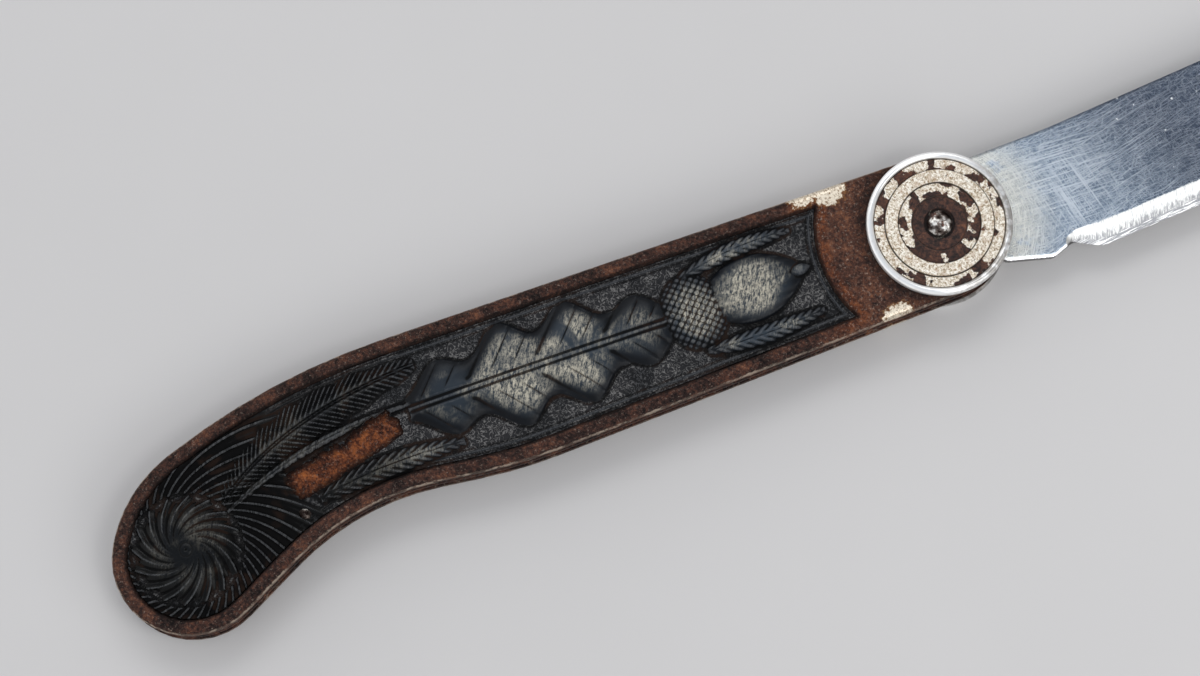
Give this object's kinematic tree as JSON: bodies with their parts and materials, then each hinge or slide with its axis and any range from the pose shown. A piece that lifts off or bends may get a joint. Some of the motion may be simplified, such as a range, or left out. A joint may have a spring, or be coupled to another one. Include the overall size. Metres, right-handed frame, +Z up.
{
  "type": "folding pocket knife",
  "caption": "Open folding pocket knife, about 195 mm long: stamped steel handle shells, black relief panels, ringed pivot caps, leaf spring and a broad steel blade that folds.",
  "frame": {"origin": "Lower end of the pivot rivet, on the pivot's axis, in the plane the knife rests on.", "axes": "+X along the open blade, +Y towards the back of the handle, +Z up, out of the front face."},
  "size_m": [0.1965, 0.0254, 0.0084],
  "materials": {
    "bare_steel": "scratched",
    "rusty_plated_steel": "rusted, with remains of plating",
    "black_moulding": "moulded, worn on the high places",
    "plated_steel": "worn plating, rusty in the low rings"
  },
  "bodies": {
    "handle": {"back_spring": "bare_steel", "middle_pin": "bare_steel", "butt_pin": "bare_steel", "front_pivot_spacer": "bare_steel", "rear_pivot_spacer": "bare_steel", "front_shell": "rusty_plated_steel", "rear_shell": "rusty_plated_steel", "front_liner": "rusty_plated_steel", "rear_liner": "rusty_plated_steel", "front_inlay_stud": "rusty_plated_steel", "rear_inlay_stud": "rusty_plated_steel", "pivot_rivet": "rusty_plated_steel", "front_inlay": "black_moulding", "rear_inlay": "black_moulding", "front_pivot_cap": "plated_steel", "rear_pivot_cap": "plated_steel"},
    "blade": {"blade": "bare_steel"}
  },
  "joints": [
    {"name": "blade_pivot", "type": "hinge", "parent": "handle", "child": "blade", "pos_m": [0, 0, 0.0041], "axis": [0, 0, 1], "range_deg": [-172.9, 0]}
  ]
}
